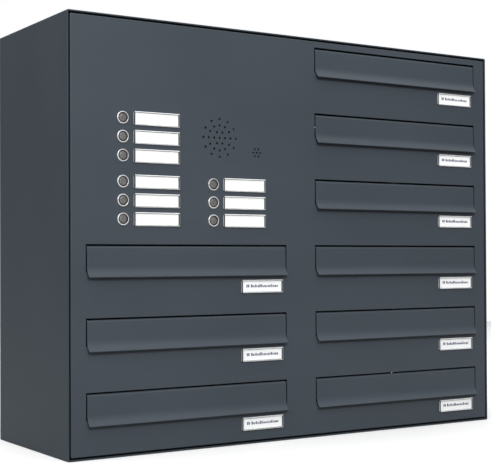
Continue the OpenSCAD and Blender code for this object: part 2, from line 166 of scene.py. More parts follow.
def new_group(name, inputs, outputs):
    group = bpy.data.node_groups.new(name, "ShaderNodeTree")
    for title, kind, value in inputs:
        socket = group.interface.new_socket(name=title, in_out="INPUT", socket_type=kind)
        socket.default_value = value
    for title, kind in outputs:
        group.interface.new_socket(name=title, in_out="OUTPUT", socket_type=kind)
    return group, group.nodes.new("NodeGroupInput"), group.nodes.new("NodeGroupOutput")


def math_node(tree, operation, a, b):
    node = tree.nodes.new("ShaderNodeMath")
    node.operation = operation
    for k, v in ((0, a), (1, b)):
        if isinstance(v, (int, float)):
            node.inputs[k].default_value = v
        else:
            tree.links.new(v, node.inputs[k])
    return node.outputs[0]


def weighted_sum(tree, a, part_a, b, part_b):
    return math_node(tree, "ADD", math_node(tree, "MULTIPLY", a, part_a), math_node(tree, "MULTIPLY", b, part_b))


def stretched_noise(tree, vector, stretch, scale, detail, roughness=0.5):
    mapping = tree.nodes.new("ShaderNodeMapping")
    mapping.inputs["Scale"].default_value = stretch
    tree.links.new(vector, mapping.inputs["Vector"])
    noise = tree.nodes.new("ShaderNodeTexNoise")
    noise.inputs["Detail"].default_value = detail
    noise.inputs["Roughness"].default_value = roughness
    if isinstance(scale, (int, float)):
        noise.inputs["Scale"].default_value = scale
    else:
        tree.links.new(scale, noise.inputs["Scale"])
    tree.links.new(mapping.outputs[0], noise.inputs["Vector"])
    return noise.outputs["Fac"]


def powder_coat_group():
    """Orange-peel grain, fine lines along X and slow bands of tone, for painted sheet."""
    group, inp, out = new_group(
        "Powder coat",
        [("Grain scale", "NodeSocketFloat", 900.0), ("Line scale", "NodeSocketFloat", 420.0),
         ("Line amount", "NodeSocketFloat", 0.5)],
        [("Tone", "NodeSocketFloat"), ("Height", "NodeSocketFloat"), ("Gloss", "NodeSocketFloat")])
    coords = group.nodes.new("ShaderNodeTexCoord").outputs["Object"]
    grain = stretched_noise(group, coords, (1, 1, 1), inp.outputs["Grain scale"], 2.0)
    lines = stretched_noise(group, coords, (0.012, 1, 1), inp.outputs["Line scale"], 3.0, 0.6)
    bands = stretched_noise(group, coords, (0.6, 1.4, 1.0), 5.0, 2.0)
    line_part = math_node(group, "MULTIPLY", lines, inp.outputs["Line amount"])
    tone = weighted_sum(group, bands, 0.7, line_part, 0.55)
    tone = math_node(group, "ADD", tone, math_node(group, "MULTIPLY", grain, 0.15))
    height = math_node(group, "ADD", math_node(group, "MULTIPLY", grain, 0.6), line_part)
    gloss = weighted_sum(group, bands, 0.10, grain, 0.06)
    group.links.new(tone, out.inputs["Tone"])
    group.links.new(height, out.inputs["Height"])
    group.links.new(gloss, out.inputs["Gloss"])
    return group


def drawn_metal_group():
    """Fine grinding marks and cloudy tone on bare metal."""
    group, inp, out = new_group(
        "Drawn metal",
        [("Mark scale", "NodeSocketFloat", 700.0), ("Cloud scale", "NodeSocketFloat", 20.0)],
        [("Tone", "NodeSocketFloat"), ("Height", "NodeSocketFloat"), ("Gloss", "NodeSocketFloat")])
    coords = group.nodes.new("ShaderNodeTexCoord").outputs["Object"]
    marks = stretched_noise(group, coords, (0.2, 1, 1), inp.outputs["Mark scale"], 3.0, 0.6)
    clouds = stretched_noise(group, coords, (1, 1, 1), inp.outputs["Cloud scale"], 3.0, 0.6)
    tone = weighted_sum(group, marks, 0.45, clouds, 0.55)
    gloss = math_node(group, "MULTIPLY", tone, 0.25)
    group.links.new(tone, out.inputs["Tone"])
    group.links.new(marks, out.inputs["Height"])
    group.links.new(gloss, out.inputs["Gloss"])
    return group


def moulded_group():
    """Fine moulded grain with faint dust, for plastic, rubber, card and clear covers."""
    group, inp, out = new_group(
        "Moulded grain",
        [("Grain scale", "NodeSocketFloat", 1600.0), ("Dust scale", "NodeSocketFloat", 60.0)],
        [("Tone", "NodeSocketFloat"), ("Height", "NodeSocketFloat"), ("Gloss", "NodeSocketFloat")])
    coords = group.nodes.new("ShaderNodeTexCoord").outputs["Object"]
    grain = stretched_noise(group, coords, (1, 1, 1), inp.outputs["Grain scale"], 2.0)
    dust = stretched_noise(group, coords, (1, 1, 1), inp.outputs["Dust scale"], 4.0, 0.65)
    tone = weighted_sum(group, grain, 0.4, dust, 0.6)
    gloss = math_node(group, "MULTIPLY", dust, 0.2)
    group.links.new(tone, out.inputs["Tone"])
    group.links.new(grain, out.inputs["Height"])
    group.links.new(gloss, out.inputs["Gloss"])
    return group


GROUPS = {}
FINISHES = {}


def finish_of(name, group, low, high, gloss, bump=0.1, depth=0.0001, metal=0.0, spread=(0.25, 0.75), alpha=1.0,
              specular=0.5, **settings):
    """Makes a material whose tone runs from low to high and whose roughness starts at gloss."""
    material = bpy.data.materials.new(name)
    material.use_nodes = True
    tree = material.node_tree
    shader = tree.nodes["Principled BSDF"]
    shader.inputs["Metallic"].default_value = metal
    shader.inputs["Specular IOR Level"].default_value = specular
    shader.inputs["Alpha"].default_value = alpha
    effect = tree.nodes.new("ShaderNodeGroup")
    effect.node_tree = GROUPS[group]
    for title, value in settings.items():
        effect.inputs[title.replace("_", " ")].default_value = value
    spreader = tree.nodes.new("ShaderNodeMapRange")
    spreader.inputs["From Min"].default_value, spreader.inputs["From Max"].default_value = spread
    tree.links.new(effect.outputs["Tone"], spreader.inputs["Value"])
    mix = tree.nodes.new("ShaderNodeMix")
    mix.data_type = "RGBA"
    mix.inputs["A"].default_value = (*low, 1)
    mix.inputs["B"].default_value = (*high, 1)
    tree.links.new(spreader.outputs["Result"], mix.inputs["Factor"])
    tree.links.new(mix.outputs["Result"], shader.inputs["Base Color"])
    tree.links.new(math_node(tree, "ADD", effect.outputs["Gloss"], gloss), shader.inputs["Roughness"])
    bumper = tree.nodes.new("ShaderNodeBump")
    bumper.inputs["Strength"].default_value = bump
    bumper.inputs["Distance"].default_value = depth
    tree.links.new(effect.outputs["Height"], bumper.inputs["Height"])
    tree.links.new(bumper.outputs["Normal"], shader.inputs["Normal"])
    material.diffuse_color = (*high, 1)
    FINISHES[name] = material


def shade(colour, by):
    return tuple(v * by for v in colour)


def make_painted_finishes():
    dark, light = tuple(colours().anthracite), tuple(colours().anthracite_light)
    finish_of("Brushed anthracite", "coat", dark, light, 0.42, bump=0.16, depth=0.00008, spread=(0.35, 1.0),
              specular=0.25, Line_amount=0.55)
    finish_of("Plain anthracite", "coat", dark, light, 0.5, bump=0.14, depth=0.00006, spread=(0.25, 0.85),
              specular=0.14, Line_amount=0.12, Line_scale=200.0)
    # This copy of the coat, darkened to 0.3 and 0.4, is painted shade for flap ends and frames seen in the gaps
    finish_of("Anthracite in painted shade", "coat", shade(dark, 0.3), shade(light, 0.4), 0.6, bump=0.12, depth=0.00006,
              specular=0.08, Line_amount=0.1)


def make_metal_finishes():
    # This near-black steel is given to the flap pins as painted shade in the flaps' side gaps
    finish_of("Steel darkened as painted shade", "metal", (0.012, 0.012, 0.013), (0.03, 0.03, 0.032), 0.45, bump=0.1, metal=1.0)
    finish_of("Zinc sheet", "metal", (0.32, 0.34, 0.35), (0.52, 0.54, 0.55), 0.32, bump=0.1, metal=1.0,
              Mark_scale=90.0, Cloud_scale=60.0)
    finish_of("Satin steel", "metal", (0.62, 0.62, 0.61), (0.86, 0.86, 0.85), 0.16, bump=0.12, depth=0.00004,
              metal=1.0)
    finish_of("Bright steel", "metal", (0.74, 0.74, 0.74), (0.86, 0.86, 0.86), 0.26, bump=0.05, depth=0.00003,
              metal=1.0)
    finish_of("Blasted steel", "mould", (0.06, 0.06, 0.058), (0.25, 0.248, 0.243), 0.42, bump=0.6, depth=0.0003,
              metal=1.0, Grain_scale=1000.0, Dust_scale=450.0)


def make_moulded_finishes():
    c = colours()
    # Black plastic is also put on the bell recesses and the grille hole walls as painted shade
    finish_of("Black plastic and painted shade", "mould", (0.010, 0.010, 0.011), (0.022, 0.022, 0.024), 0.42, bump=0.2)
    finish_of("Black rubber", "mould", (0.008, 0.008, 0.008), (0.02, 0.02, 0.02), 0.7, bump=0.35)
    finish_of("Grey plastic", "mould", (0.42, 0.43, 0.42), (0.55, 0.56, 0.55), 0.4, bump=0.2)
    finish_of("White card", "mould", tuple(c.card), (0.92, 0.925, 0.925), 0.6, bump=0.08, Grain_scale=900.0)
    finish_of("Dark blue ink", "mould", tuple(c.ink), shade(c.ink, 1.6), 0.5, bump=0.05)
    finish_of("Clear acrylic", "mould", (0.80, 0.82, 0.83), (0.92, 0.93, 0.93), 0.0, bump=0.02, alpha=0.06,
              Dust_scale=120.0)
    finish_of("Frosted acrylic edge", "mould", (0.66, 0.67, 0.67), (0.80, 0.81, 0.81), 0.18, bump=0.1)
    # The black and grey edges are painted shade and painted half shade on the covers' left and right ends
    finish_of("Acrylic edge in painted half shade", "mould", (0.15, 0.155, 0.16), (0.24, 0.245, 0.25), 0.18, bump=0.1)
    finish_of("Acrylic edge in painted shade", "mould", (0.004, 0.005, 0.006), (0.012, 0.013, 0.015), 0.2, bump=0.1)


# ---------------------------------------------------------------- modelling helpers


def deselect_all():
    active = bpy.context.view_layer.objects.active
    if active and active.mode != "OBJECT":
        bpy.ops.object.mode_set(mode="OBJECT")
    bpy.ops.object.select_all(action="DESELECT")


def only(obj):
    deselect_all()
    obj.select_set(True)
    bpy.context.view_layer.objects.active = obj


def settle(obj):
    """Puts the object's place, turn and size into its mesh."""
    only(obj)
    bpy.ops.object.transform_apply(location=True, rotation=True, scale=True)


def named(name):
    obj = bpy.context.view_layer.objects.active
    obj.name = obj.data.name = name
    settle(obj)
    return obj


def block(name, low, high):
    deselect_all()
    low, high = Vector(low), Vector(high)
    bpy.ops.mesh.primitive_cube_add(size=1, location=(low + high) / 2, scale=high - low)
    return named(name)


def rod_y(name, x, z, y0, y1, radius, sides=32):
    deselect_all()
    bpy.ops.mesh.primitive_cylinder_add(vertices=sides, radius=radius, depth=y1 - y0,
                                        location=(x, (y0 + y1) / 2, z), rotation=(math.pi / 2, 0, 0))
    return named(name)


def edit_with(obj, kind, test):
    """Selects the faces or edges that pass the test and stays in edit mode."""
    only(obj)
    mesh = obj.data
    bpy.ops.object.mode_set(mode="EDIT")
    bpy.ops.mesh.select_mode(type=kind)
    bpy.ops.mesh.select_all(action="DESELECT")
    bpy.ops.object.mode_set(mode="OBJECT")
    for part in mesh.polygons if kind == "FACE" else mesh.edges:
        part.select = test(part)
    bpy.ops.object.mode_set(mode="EDIT")


def leave_edit():
    bpy.ops.object.mode_set(mode="OBJECT")


def edge_ends(obj, edge):
    return obj.data.vertices[edge.vertices[0]].co, obj.data.vertices[edge.vertices[1]].co


def along(obj, edge, axis):
    a, b = edge_ends(obj, edge)
    d = (a - b).normalized()
    return abs(d[axis]) > 0.999


def bevel_edges(obj, test, width, segments=3):
    edit_with(obj, "EDGE", test)
    bpy.ops.mesh.bevel(offset=width, segments=segments, affect="EDGES", clamp_overlap=True)
    leave_edit()


def bevel_uprights(obj, width, segments=3):
    """Rounds the edges that run from front to back."""
    bevel_edges(obj, lambda e: along(obj, e, 1), width, segments)


def with_modifier(obj, kind, **values):
    only(obj)
    modifier = obj.modifiers.new(kind.title(), kind)
    for key, value in values.items():
        setattr(modifier, key, value)
    bpy.ops.object.modifier_apply(modifier=modifier.name)


def soften(obj, width, angle=50):
    with_modifier(obj, "BEVEL", width=width, segments=2, limit_method="ANGLE", angle_limit=math.radians(angle),
                  use_clamp_overlap=True, harden_normals=False)


def smooth(obj, angle=35):
    """Smooth shading between sharp edges, with the large faces kept flat."""
    only(obj)
    bpy.ops.object.shade_smooth_by_angle(angle=math.radians(angle))
    with_modifier(obj, "WEIGHTED_NORMAL", keep_sharp=True, weight=100)


def join(first, *others):
    only(first)
    for other in others:
        other.select_set(True)
    bpy.ops.object.join()
    return first


def cut_away(obj, tool):
    only(obj)
    modifier = obj.modifiers.new("Cut", "BOOLEAN")
    modifier.operation, modifier.solver, modifier.object = "DIFFERENCE", "EXACT", tool
    bpy.ops.object.modifier_apply(modifier=modifier.name)
    bpy.data.objects.remove(tool, do_unlink=True)


def weld(obj):
    only(obj)
    bpy.ops.object.mode_set(mode="EDIT")
    bpy.ops.mesh.select_all(action="SELECT")
    bpy.ops.mesh.remove_doubles(threshold=1e-6)
    leave_edit()


def face_out(obj):
    only(obj)
    bpy.ops.object.mode_set(mode="EDIT")
    bpy.ops.mesh.select_all(action="SELECT")
    bpy.ops.mesh.normals_make_consistent(inside=False)
    leave_edit()


def copy_at(obj, name, offset):
    only(obj)
    bpy.ops.object.duplicate(linked=False)
    bpy.ops.transform.translate(value=offset)
    return named(name)


def copies_of(first, name, spots):
    """The first piece, which stands at the first spot, and a copy at each further one."""
    start = spots[0]
    return [first] + [copy_at(first, f"{name}_{n}", (c.x - start.x, 0, c.z - start.z))
                      for n, c in enumerate(spots[1:], 2)]


def turned(name, centre, profile, sides=64):
    """A ring or cap on a Y axis through centre, extruded loop by loop: profile is (radius, y) from end to end."""
    deselect_all()
    x, z = centre.x, centre.z
    r, y = profile[0]
    bpy.ops.mesh.primitive_circle_add(vertices=sides, radius=r, location=(x, y, z), rotation=(math.pi / 2, 0, 0))
    obj = named(name)
    edit_with(obj, "EDGE", lambda e: True)
    for r2, y2 in profile[1:]:
        bpy.ops.mesh.extrude_region_move(TRANSFORM_OT_translate={"value": (0, y2 - y, 0)})
        if r2 == 0:
            bpy.ops.mesh.merge(type="CENTER")
            break
        if abs(r2 - r) > 1e-9:
            bpy.ops.transform.resize(value=(r2 / r, 1, r2 / r), center_override=(x, y2, z))
        r, y = r2, y2
    leave_edit()
    weld(obj)
    face_out(obj)
    return obj


def refined(node, width):
    """A welded, cleaned and softened copy of a CAD node that stands for it."""
    only(NODES[node])
    bpy.ops.object.duplicate(linked=False)
    obj = bpy.context.view_layer.objects.active
    obj.parent = None
    for key in list(obj.keys()):
        del obj[key]
    obj.name = obj.data.name = node + "_finished"
    weld(obj)
    only(obj)
    bpy.ops.object.mode_set(mode="EDIT")
    bpy.ops.mesh.select_all(action="SELECT")
    bpy.ops.mesh.dissolve_limited(angle_limit=math.radians(0.5), delimit={"NORMAL"})
    leave_edit()
    soften(obj, width, 40)
    smooth(obj)
    return obj


def repaint_round(obj, finish, spots, radius, low_y, high_y):
    """Gives another finish to the faces wholly inside a radius round one of the spots, between two depths."""
    obj.data.materials.append(FINISHES[finish])
    index = len(obj.data.materials) - 1
    for f in obj.data.polygons:
        points = [obj.data.vertices[k].co for k in f.vertices]
        if low_y < f.center.y < high_y and any(
                all(math.hypot(v.x - c.x, v.z - c.z) < radius for v in points) for c in spots):
            f.material_index = index


def hand_over(obj, body, slot, finish, *nodes):
    """Gives a piece its finish and its body, and hides the CAD nodes it stands for."""
    obj.data.materials.clear()
    obj.data.materials.append(FINISHES[finish])
    if nodes:
        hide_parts(*nodes)
    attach(obj, body)


# ---------------------------------------------------------------- pieces


class MAILBOX_OT_finishes(bpy.types.Operator):
    """Paints, metals and plastics that the pieces take their look from"""
    bl_idname = "mailbox.finishes"
    bl_label = "Finishes"

    def execute(self, context):
        GROUPS["coat"] = powder_coat_group()
        GROUPS["metal"] = drawn_metal_group()
        GROUPS["mould"] = moulded_group()
        make_painted_finishes()
        make_metal_finishes()
        make_moulded_finishes()
        return {"FINISHED"}


def upright_drill(x, y, z, radius, sides):
    deselect_all()
    bpy.ops.mesh.primitive_cylinder_add(vertices=sides, radius=radius, depth=DRILL_LENGTH, location=(x, y, z))
    return named("drill")


class MAILBOX_OT_casing(bpy.types.Operator):
    """Four-walled casing of folded sheet, open in front and behind"""
    bl_idname = "mailbox.casing"
    bl_label = "Casing"

    def execute(self, context):
        s = sizes()
        low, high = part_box("casing")
        shell = block("casing_shell", low, high)
        bevel_uprights(shell, s.shell_bend, 4)
        edit_with(shell, "FACE", lambda f: abs(f.normal.y) > 0.9)
        bpy.ops.mesh.delete(type="FACE")
        leave_edit()
        with_modifier(shell, "SOLIDIFY", thickness=s.shell_t, offset=-1, use_even_offset=True)
        drills = [upright_drill(x, y, 0, BASE_BOLT_R, 32) for x, y in BASE_BOLTS]
        a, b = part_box("cable_grommet")
        grommet_r = (b.x - a.x) / 2 - GROMMET_FLANGE
        drills.append(upright_drill((a.x + b.x) / 2, (a.y + b.y) / 2, high.z, grommet_r, 48))
        cut_away(shell, join(*drills))
        soften(shell, s.burr)
        smooth(shell)
        hand_over(shell, "cabinet", "case_paint", "Plain anthracite", "casing")
        return {"FINISHED"}


def bell_centres():
    return [sum(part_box(f"bell_button_{i}"), Vector()) / 2 for i in range(1, UNITS + 1)]


def ring_holes(centre, step, counts):
    """The middle of a grille and its rings of holes, each a step wider."""
    yield centre
    for ring, count in enumerate(counts, 1):
        for k in range(count):
            a = 2 * math.pi * k / count
            yield Vector((centre.x + ring * step * math.cos(a), 0, centre.z + ring * step * math.sin(a)))


class MAILBOX_OT_front_plate(bpy.types.Operator):
    """Front plate folded back at its edges, with slots, bell holes and the two grilles"""
    bl_idname = "mailbox.front_plate"
    bl_label = "Front plate"

    def execute(self, context):
        s = sizes()
        low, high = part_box("front_plate")
        front = low.y
        pan = block("front_plate_pan", low, (high.x, front + s.plate_return, high.z))
        bevel_uprights(pan, PLATE_CORNER)
        bevel_edges(pan, lambda e: all(v.y < front + 1e-6 for v in edge_ends(pan, e)), s.plate_bend, 4)
        edit_with(pan, "FACE", lambda f: f.normal.y > 0.9)
        bpy.ops.mesh.delete(type="FACE")
        leave_edit()
        with_modifier(pan, "SOLIDIFY", thickness=s.plate_t, offset=-1, use_even_offset=True)
        before, behind = front - CUT_REACH, front + CUT_REACH
        cutters = []
        for i in range(1, UNITS + 1):
            a, b = flap_box(i)
            sill = b.z - s.flap_h + s.slot_sill
            cutters.append(block("slot", (a.x - s.slot_side, before, sill),
                                 (b.x + s.slot_side, behind, b.z + s.slot_top)))
        hole_r = s.bezel_r - BELL_FLANGE + BELL_CLEARANCE
        for c in bell_centres():
            cutters.append(rod_y("bell_hole", c.x, c.z, before, behind, hole_r, 48))
        speaker = list(ring_holes(sum(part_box("speaker"), Vector()) / 2, SPEAKER_STEP, SPEAKER_RINGS))
        mic = list(ring_holes(sum(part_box("microphone"), Vector()) / 2, MIC_STEP, MIC_RINGS))
        for holes, radius in ((speaker, s.hole_r), (mic, s.mic_hole_r)):
            cutters += [rod_y("hole", c.x, c.z, before, behind, radius, 20) for c in holes]
        cut_away(pan, join(*cutters))
        soften(pan, s.burr)
        smooth(pan)
        hand_over(pan, "cabinet", "plate_paint", "Brushed anthracite", "front_plate")
        # The walls of the grille holes are painted black: painted shade in the holes
        repaint_round(pan, "Black plastic and painted shade", speaker + mic, s.hole_r + HAIR, front + s.burr, behind)
        spots = [Vector((x, 0, SIDE_STUD_LOW + SIDE_STUD_STEP * k))
                 for x in (low.x + SIDE_STUD_INSET, high.x - SIDE_STUD_INSET) for k in range(SIDE_STUDS)]
        nut_low, nut_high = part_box("plate_nuts")
        spots += [Vector((x, 0, z)) for x in (-END_STUD_X, END_STUD_X)
                  for z in (nut_low.z + END_STUD_INSET, nut_high.z - END_STUD_INSET)]
        inside = front + s.plate_t
        first = turned("plate_stud_1", spots[0], [
            (STUD_R + STUD_FILLET, inside), (STUD_R, inside + STUD_FILLET), (STUD_R, high.y - STUD_R + STUD_TIP_R),
            (STUD_TIP_R, high.y), (0, high.y)], 24)
        studs = copies_of(first, "plate_stud", spots)
        smooth(first)
        studs = join(*studs)
        studs.name = studs.data.name = "plate_studs"
        hand_over(studs, "cabinet", "bright_steel", "Satin steel")
        return {"FINISHED"}


class MAILBOX_OT_flaps(bpy.types.Operator):
    """Letter flaps: one sheet rolled round the pin at the top and curved out into a lip at the bottom"""
    bl_idname = "mailbox.flaps"
    bl_label = "Letter flaps"

    def execute(self, context):
        s = sizes()
        a, b = flap_box(1)
        x0, x1, top = a.x, b.x, b.z
        middle = (x0 + x1) / 2
        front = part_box("front_plate")[0].y
        foot = top - s.flap_h
        deselect_all()
        upper, lower = top - s.barrel_r, foot + s.lip_h
        at = (middle, front, (upper + lower) / 2)
        bpy.ops.mesh.primitive_plane_add(size=1, location=at, rotation=(math.pi / 2, 0, 0))
        bpy.ops.transform.resize(value=(x1 - x0, 1, upper - lower), center_override=at)
        first = named("flap_sheet_1")
        radius = (s.lip_h ** 2 + s.lip_out ** 2) / (2 * s.lip_out)
        sweep = math.asin(s.lip_h / radius)

        def at_height(z):
            return lambda e: all(abs(v.z - z) < 1e-6 for v in edge_ends(first, e))

        edit_with(first, "EDGE", at_height(lower))
        y, z = front, lower
        for k in range(1, s.lip_steps + 1):
            angle = sweep * k / s.lip_steps
            y2, z2 = front + radius * math.cos(angle) - radius, foot + s.lip_h - radius * math.sin(angle)
            bpy.ops.mesh.extrude_region_move(TRANSFORM_OT_translate={"value": (0, y2 - y, z2 - z)})
            y, z = y2, z2
        leave_edit()
        edit_with(first, "EDGE", at_height(upper))
        y, z = front, upper
        axis_y, axis_z = front + s.barrel_r, upper
        for k in range(1, BARREL_STEPS + 1):
            angle = BARREL_TURN * k
            y2, z2 = axis_y - s.barrel_r * math.cos(angle), axis_z + s.barrel_r * math.sin(angle)
            bpy.ops.mesh.extrude_region_move(TRANSFORM_OT_translate={"value": (0, y2 - y, z2 - z)})
            y, z = y2, z2
        leave_edit()
        edit_with(first, "EDGE", lambda e: along(first, e, 0) and all(
            v.z < foot + 1e-5 for v in edge_ends(first, e)))
        bpy.ops.mesh.select_mode(type="VERT")
        bpy.ops.mesh.bevel(offset=s.lip_corner, segments=4, affect="VERTICES", clamp_overlap=True)
        leave_edit()
        face_out(first)
        sheet = next(f for f in first.data.polygons if abs(f.normal.y) > 0.99 and f.center.y < front + 1e-6)
        if sheet.normal.y > 0:
            only(first)
            bpy.ops.object.mode_set(mode="EDIT")
            bpy.ops.mesh.select_all(action="SELECT")
            bpy.ops.mesh.flip_normals()
            leave_edit()
        with_modifier(first, "SOLIDIFY", thickness=s.flap_t, offset=-1, use_even_offset=True)
        soften(first, SHEET_EDGE)
        smooth(first, 30)
        corners = [Vector((flap_box(i)[0].x, 0, flap_box(i)[1].z)) for i in range(1, UNITS + 1)]
        for i, flap in enumerate(copies_of(first, "flap_sheet", corners), 1):
            hand_over(flap, f"flap_{i}", "plate_paint", "Brushed anthracite", f"flap_{i}")
            # The flaps' end faces take the darkened coat: painted shade in the side gaps
            flap.data.materials.append(FINISHES["Anthracite in painted shade"])
            for f in flap.data.polygons:
                f.material_index = int(abs(f.normal.x) > 0.9)
        return {"FINISHED"}


def label_centres():
    s = sizes()
    under_flaps = []
    for i in range(1, UNITS + 1):
        high = flap_box(i)[1]
        foot = high.z - s.flap_h
        under_flaps.append(Vector((high.x - s.label_inset - s.label_w / 2, 0, foot - s.label_drop)))
    beside_bells = [Vector((c.x + s.bell_label, 0, c.z)) for c in bell_centres()]
    return under_flaps, beside_bells


def cover_edge(normal_x, side):
    """Which edge finish a face takes, by its direction and its place between the cover's ends, -1 to 1: frosted on
    the rims and the left outer wall, painted shade at the left end, painted half shade at the right end.
    """
    frosted, dark, grey = 1, 2, 3
    if normal_x < -0.98 or abs(side) <= 1:
        return frosted
    return dark if side < 0 else grey


class MAILBOX_OT_name_covers(bpy.types.Operator):
    """Clear name-plate covers with bevelled edges and a pocket for the card"""
    bl_idname = "mailbox.name_covers"
    bl_label = "Name-plate covers"

    def execute(self, context):
        s = sizes()
        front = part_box("front_plate")[0].y
        under_flaps, beside_bells = label_centres()
        centres = under_flaps + beside_bells
        c = centres[0]
        half_w, half_h = s.label_w / 2, s.label_h / 2
        cover = block("name_cover_1", (c.x - half_w, front - s.label_t, c.z - half_h),
                      (c.x + half_w, front, c.z + half_h))
        edit_with(cover, "FACE", lambda f: f.normal.y > 0.9)
        bpy.ops.mesh.inset(thickness=COVER_WALL, depth=0)
        narrower = 1 - 2 * (COVER_END_WALL - COVER_WALL) / (s.label_w - 2 * COVER_WALL)
        bpy.ops.transform.resize(value=(narrower, 1, 1), center_override=(c.x, front, c.z))
        bpy.ops.mesh.extrude_region_move(TRANSFORM_OT_translate={"value": (0, -COVER_POCKET, 0)})
        leave_edit()

        def at_corner(v):
            return abs(abs(v.x - c.x) - half_w) < 1e-6 and abs(abs(v.z - c.z) - half_h) < 1e-6

        bevel_edges(cover, lambda e: along(cover, e, 1) and all(at_corner(v) for v in edge_ends(cover, e)),
                    COVER_CORNER)
        bevel_edges(cover, lambda e: all(v.y < front - s.label_t + 1e-6 for v in edge_ends(cover, e)), COVER_BEVEL)
        face_out(cover)
        smooth(cover, 30)
        for middle, piece in zip(centres, copies_of(cover, "name_cover", centres)):
            hand_over(piece, "cabinet", "clear_cover", "Clear acrylic", "label_covers")
            # Besides the frosted edge, the covers' ends take painted shade on the left and painted half shade on
            # the right
            for edge in ("Frosted acrylic edge", "Acrylic edge in painted shade", "Acrylic edge in painted half shade"):
                piece.data.materials.append(FINISHES[edge])
            self.paint_edges(piece, middle, front, half_w, half_h)
        return {"FINISHED"}

    def paint_edges(self, piece, middle, front, half_w, half_h):
        """Pocket and front stay clear; the rims and outer walls take an edge finish."""
        for f in piece.data.polygons:
            side = (f.center.x - middle.x) / (half_w - COVER_END_WALL - HAIR)
            in_pocket = (front - COVER_POCKET - HAIR < f.center.y < front - HAIR and abs(side) < 1.01
                         and abs(f.center.z - middle.z) < half_h - COVER_WALL + HAIR)
            on_front = abs(f.normal.y) > 0.99 and f.center.y < front - HAIR
            if not in_pocket and not on_front:
                f.material_index = cover_edge(f.normal.x, side)


# The strokes that stand for a printed line: their widths in millimetres, 0 for a gap between words
PRINT_LINE = (2.2, 2.6, 0, 3.0, 2.0, 1.2, 2.4, 1.4, 2.0, 2.6, 2.2,
              1.2, 2.4, 2.2, 1.4, 2.4, 2.0, 2.4, 1.2, 2.2, 3.2, 2.2)
TALL_STROKES = (0, 1, 3, 6, 9, 10, 17)
STROKE_GAP, WORD_GAP = 0.7, 2.2
STROKE_H, TALL_STROKE_H, STROKE_CORNER = 3.4 * MM, 4.8 * MM, 0.45 * MM
PRINT_FOOT, PRINT_PROUD, PRINT_SUNK = 1.5 * MM, 0.04 * MM, 0.02 * MM


class MAILBOX_OT_name_cards(bpy.types.Operator):
    """White cards under the covers; those of the mailboxes carry a generic printed line"""
    bl_idname = "mailbox.name_cards"
    bl_label = "Name cards"

    def execute(self, context):
        s = sizes()
        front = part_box("front_plate")[0].y
        under_flaps, beside_bells = label_centres()
        half_w, half_h = s.label_w / 2 - CARD_END_GAP, s.label_h / 2 - CARD_EDGE_GAP
        face = front - CARD_FACE

        def card_at(name, c):
            card = block(name, (c.x - half_w, face, c.z - half_h), (c.x + half_w, front - CARD_BACK, c.z + half_h))
            bevel_uprights(card, CARD_CORNER)
            return card

        c = under_flaps[0]
        foot = c.z - PRINT_FOOT
        strokes = []
        total = sum(w + STROKE_GAP if w else WORD_GAP for w in PRINT_LINE) * MM
        x = c.x - total / 2
        for n, w in enumerate(PRINT_LINE):
            if w:
                height = TALL_STROKE_H if n in TALL_STROKES else STROKE_H
                stroke = block("stroke", (x, face - PRINT_PROUD, foot),
                               (x + w * MM, face + PRINT_SUNK, foot + height))
                bevel_uprights(stroke, STROKE_CORNER, 2)
                strokes.append(stroke)
            x += (w + STROKE_GAP if w else WORD_GAP) * MM
        line = join(*strokes)
        line.name = line.data.name = "print_1"
        smooth(line)
        printed = card_at("name_card_1", c)
        smooth(printed)
        lines = copies_of(line, "print", under_flaps)
        for card in copies_of(printed, "name_card", under_flaps + beside_bells):
            hand_over(card, "cabinet", "card", "White card", "label_cards")
        for line in lines:
            hand_over(line, "cabinet", "card", "Dark blue ink")
        return {"FINISHED"}


